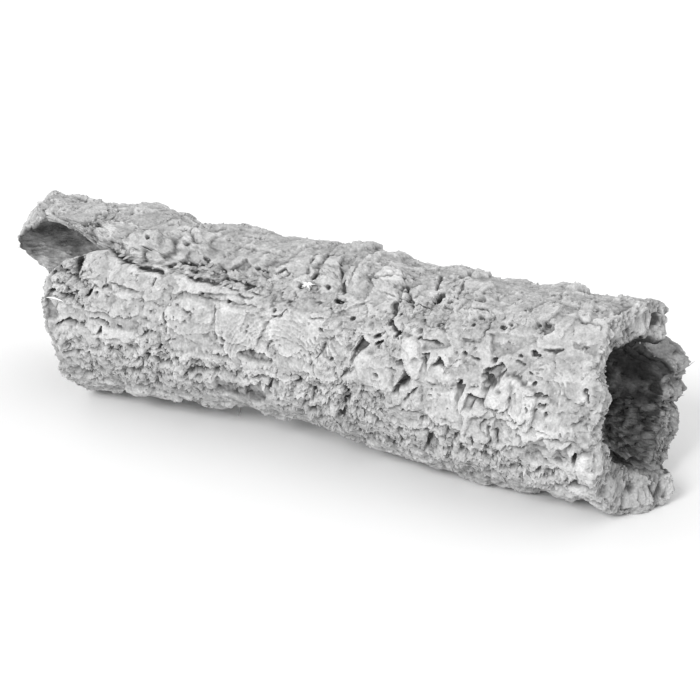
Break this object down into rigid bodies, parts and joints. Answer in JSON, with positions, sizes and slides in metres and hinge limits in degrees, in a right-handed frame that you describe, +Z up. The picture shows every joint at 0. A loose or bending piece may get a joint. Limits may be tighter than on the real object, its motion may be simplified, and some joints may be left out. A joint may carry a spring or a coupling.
{
  "type": "cork bark tube",
  "caption": "Hollow branch of virgin cork bark lying on its side, with cracked plated outside, open bore and broken ends; one end has a notch below a longer back wall.",
  "frame": {"origin": "middle of the bounding box's bottom, on the surface that the tube lies on", "axes": "+X along the tube, from the notched far end to the near end that shows the bore; -Y is the front with the notch; +Z up"},
  "size_m": [0.4097, 0.115, 0.1084],
  "materials": {
    "cork": "dry cork bark, matte, with cracked plates, crumbly ridges and a darker bore"
  },
  "bodies": {
    "root": {"cork_branch": "cork"}
  },
  "joints": []
}
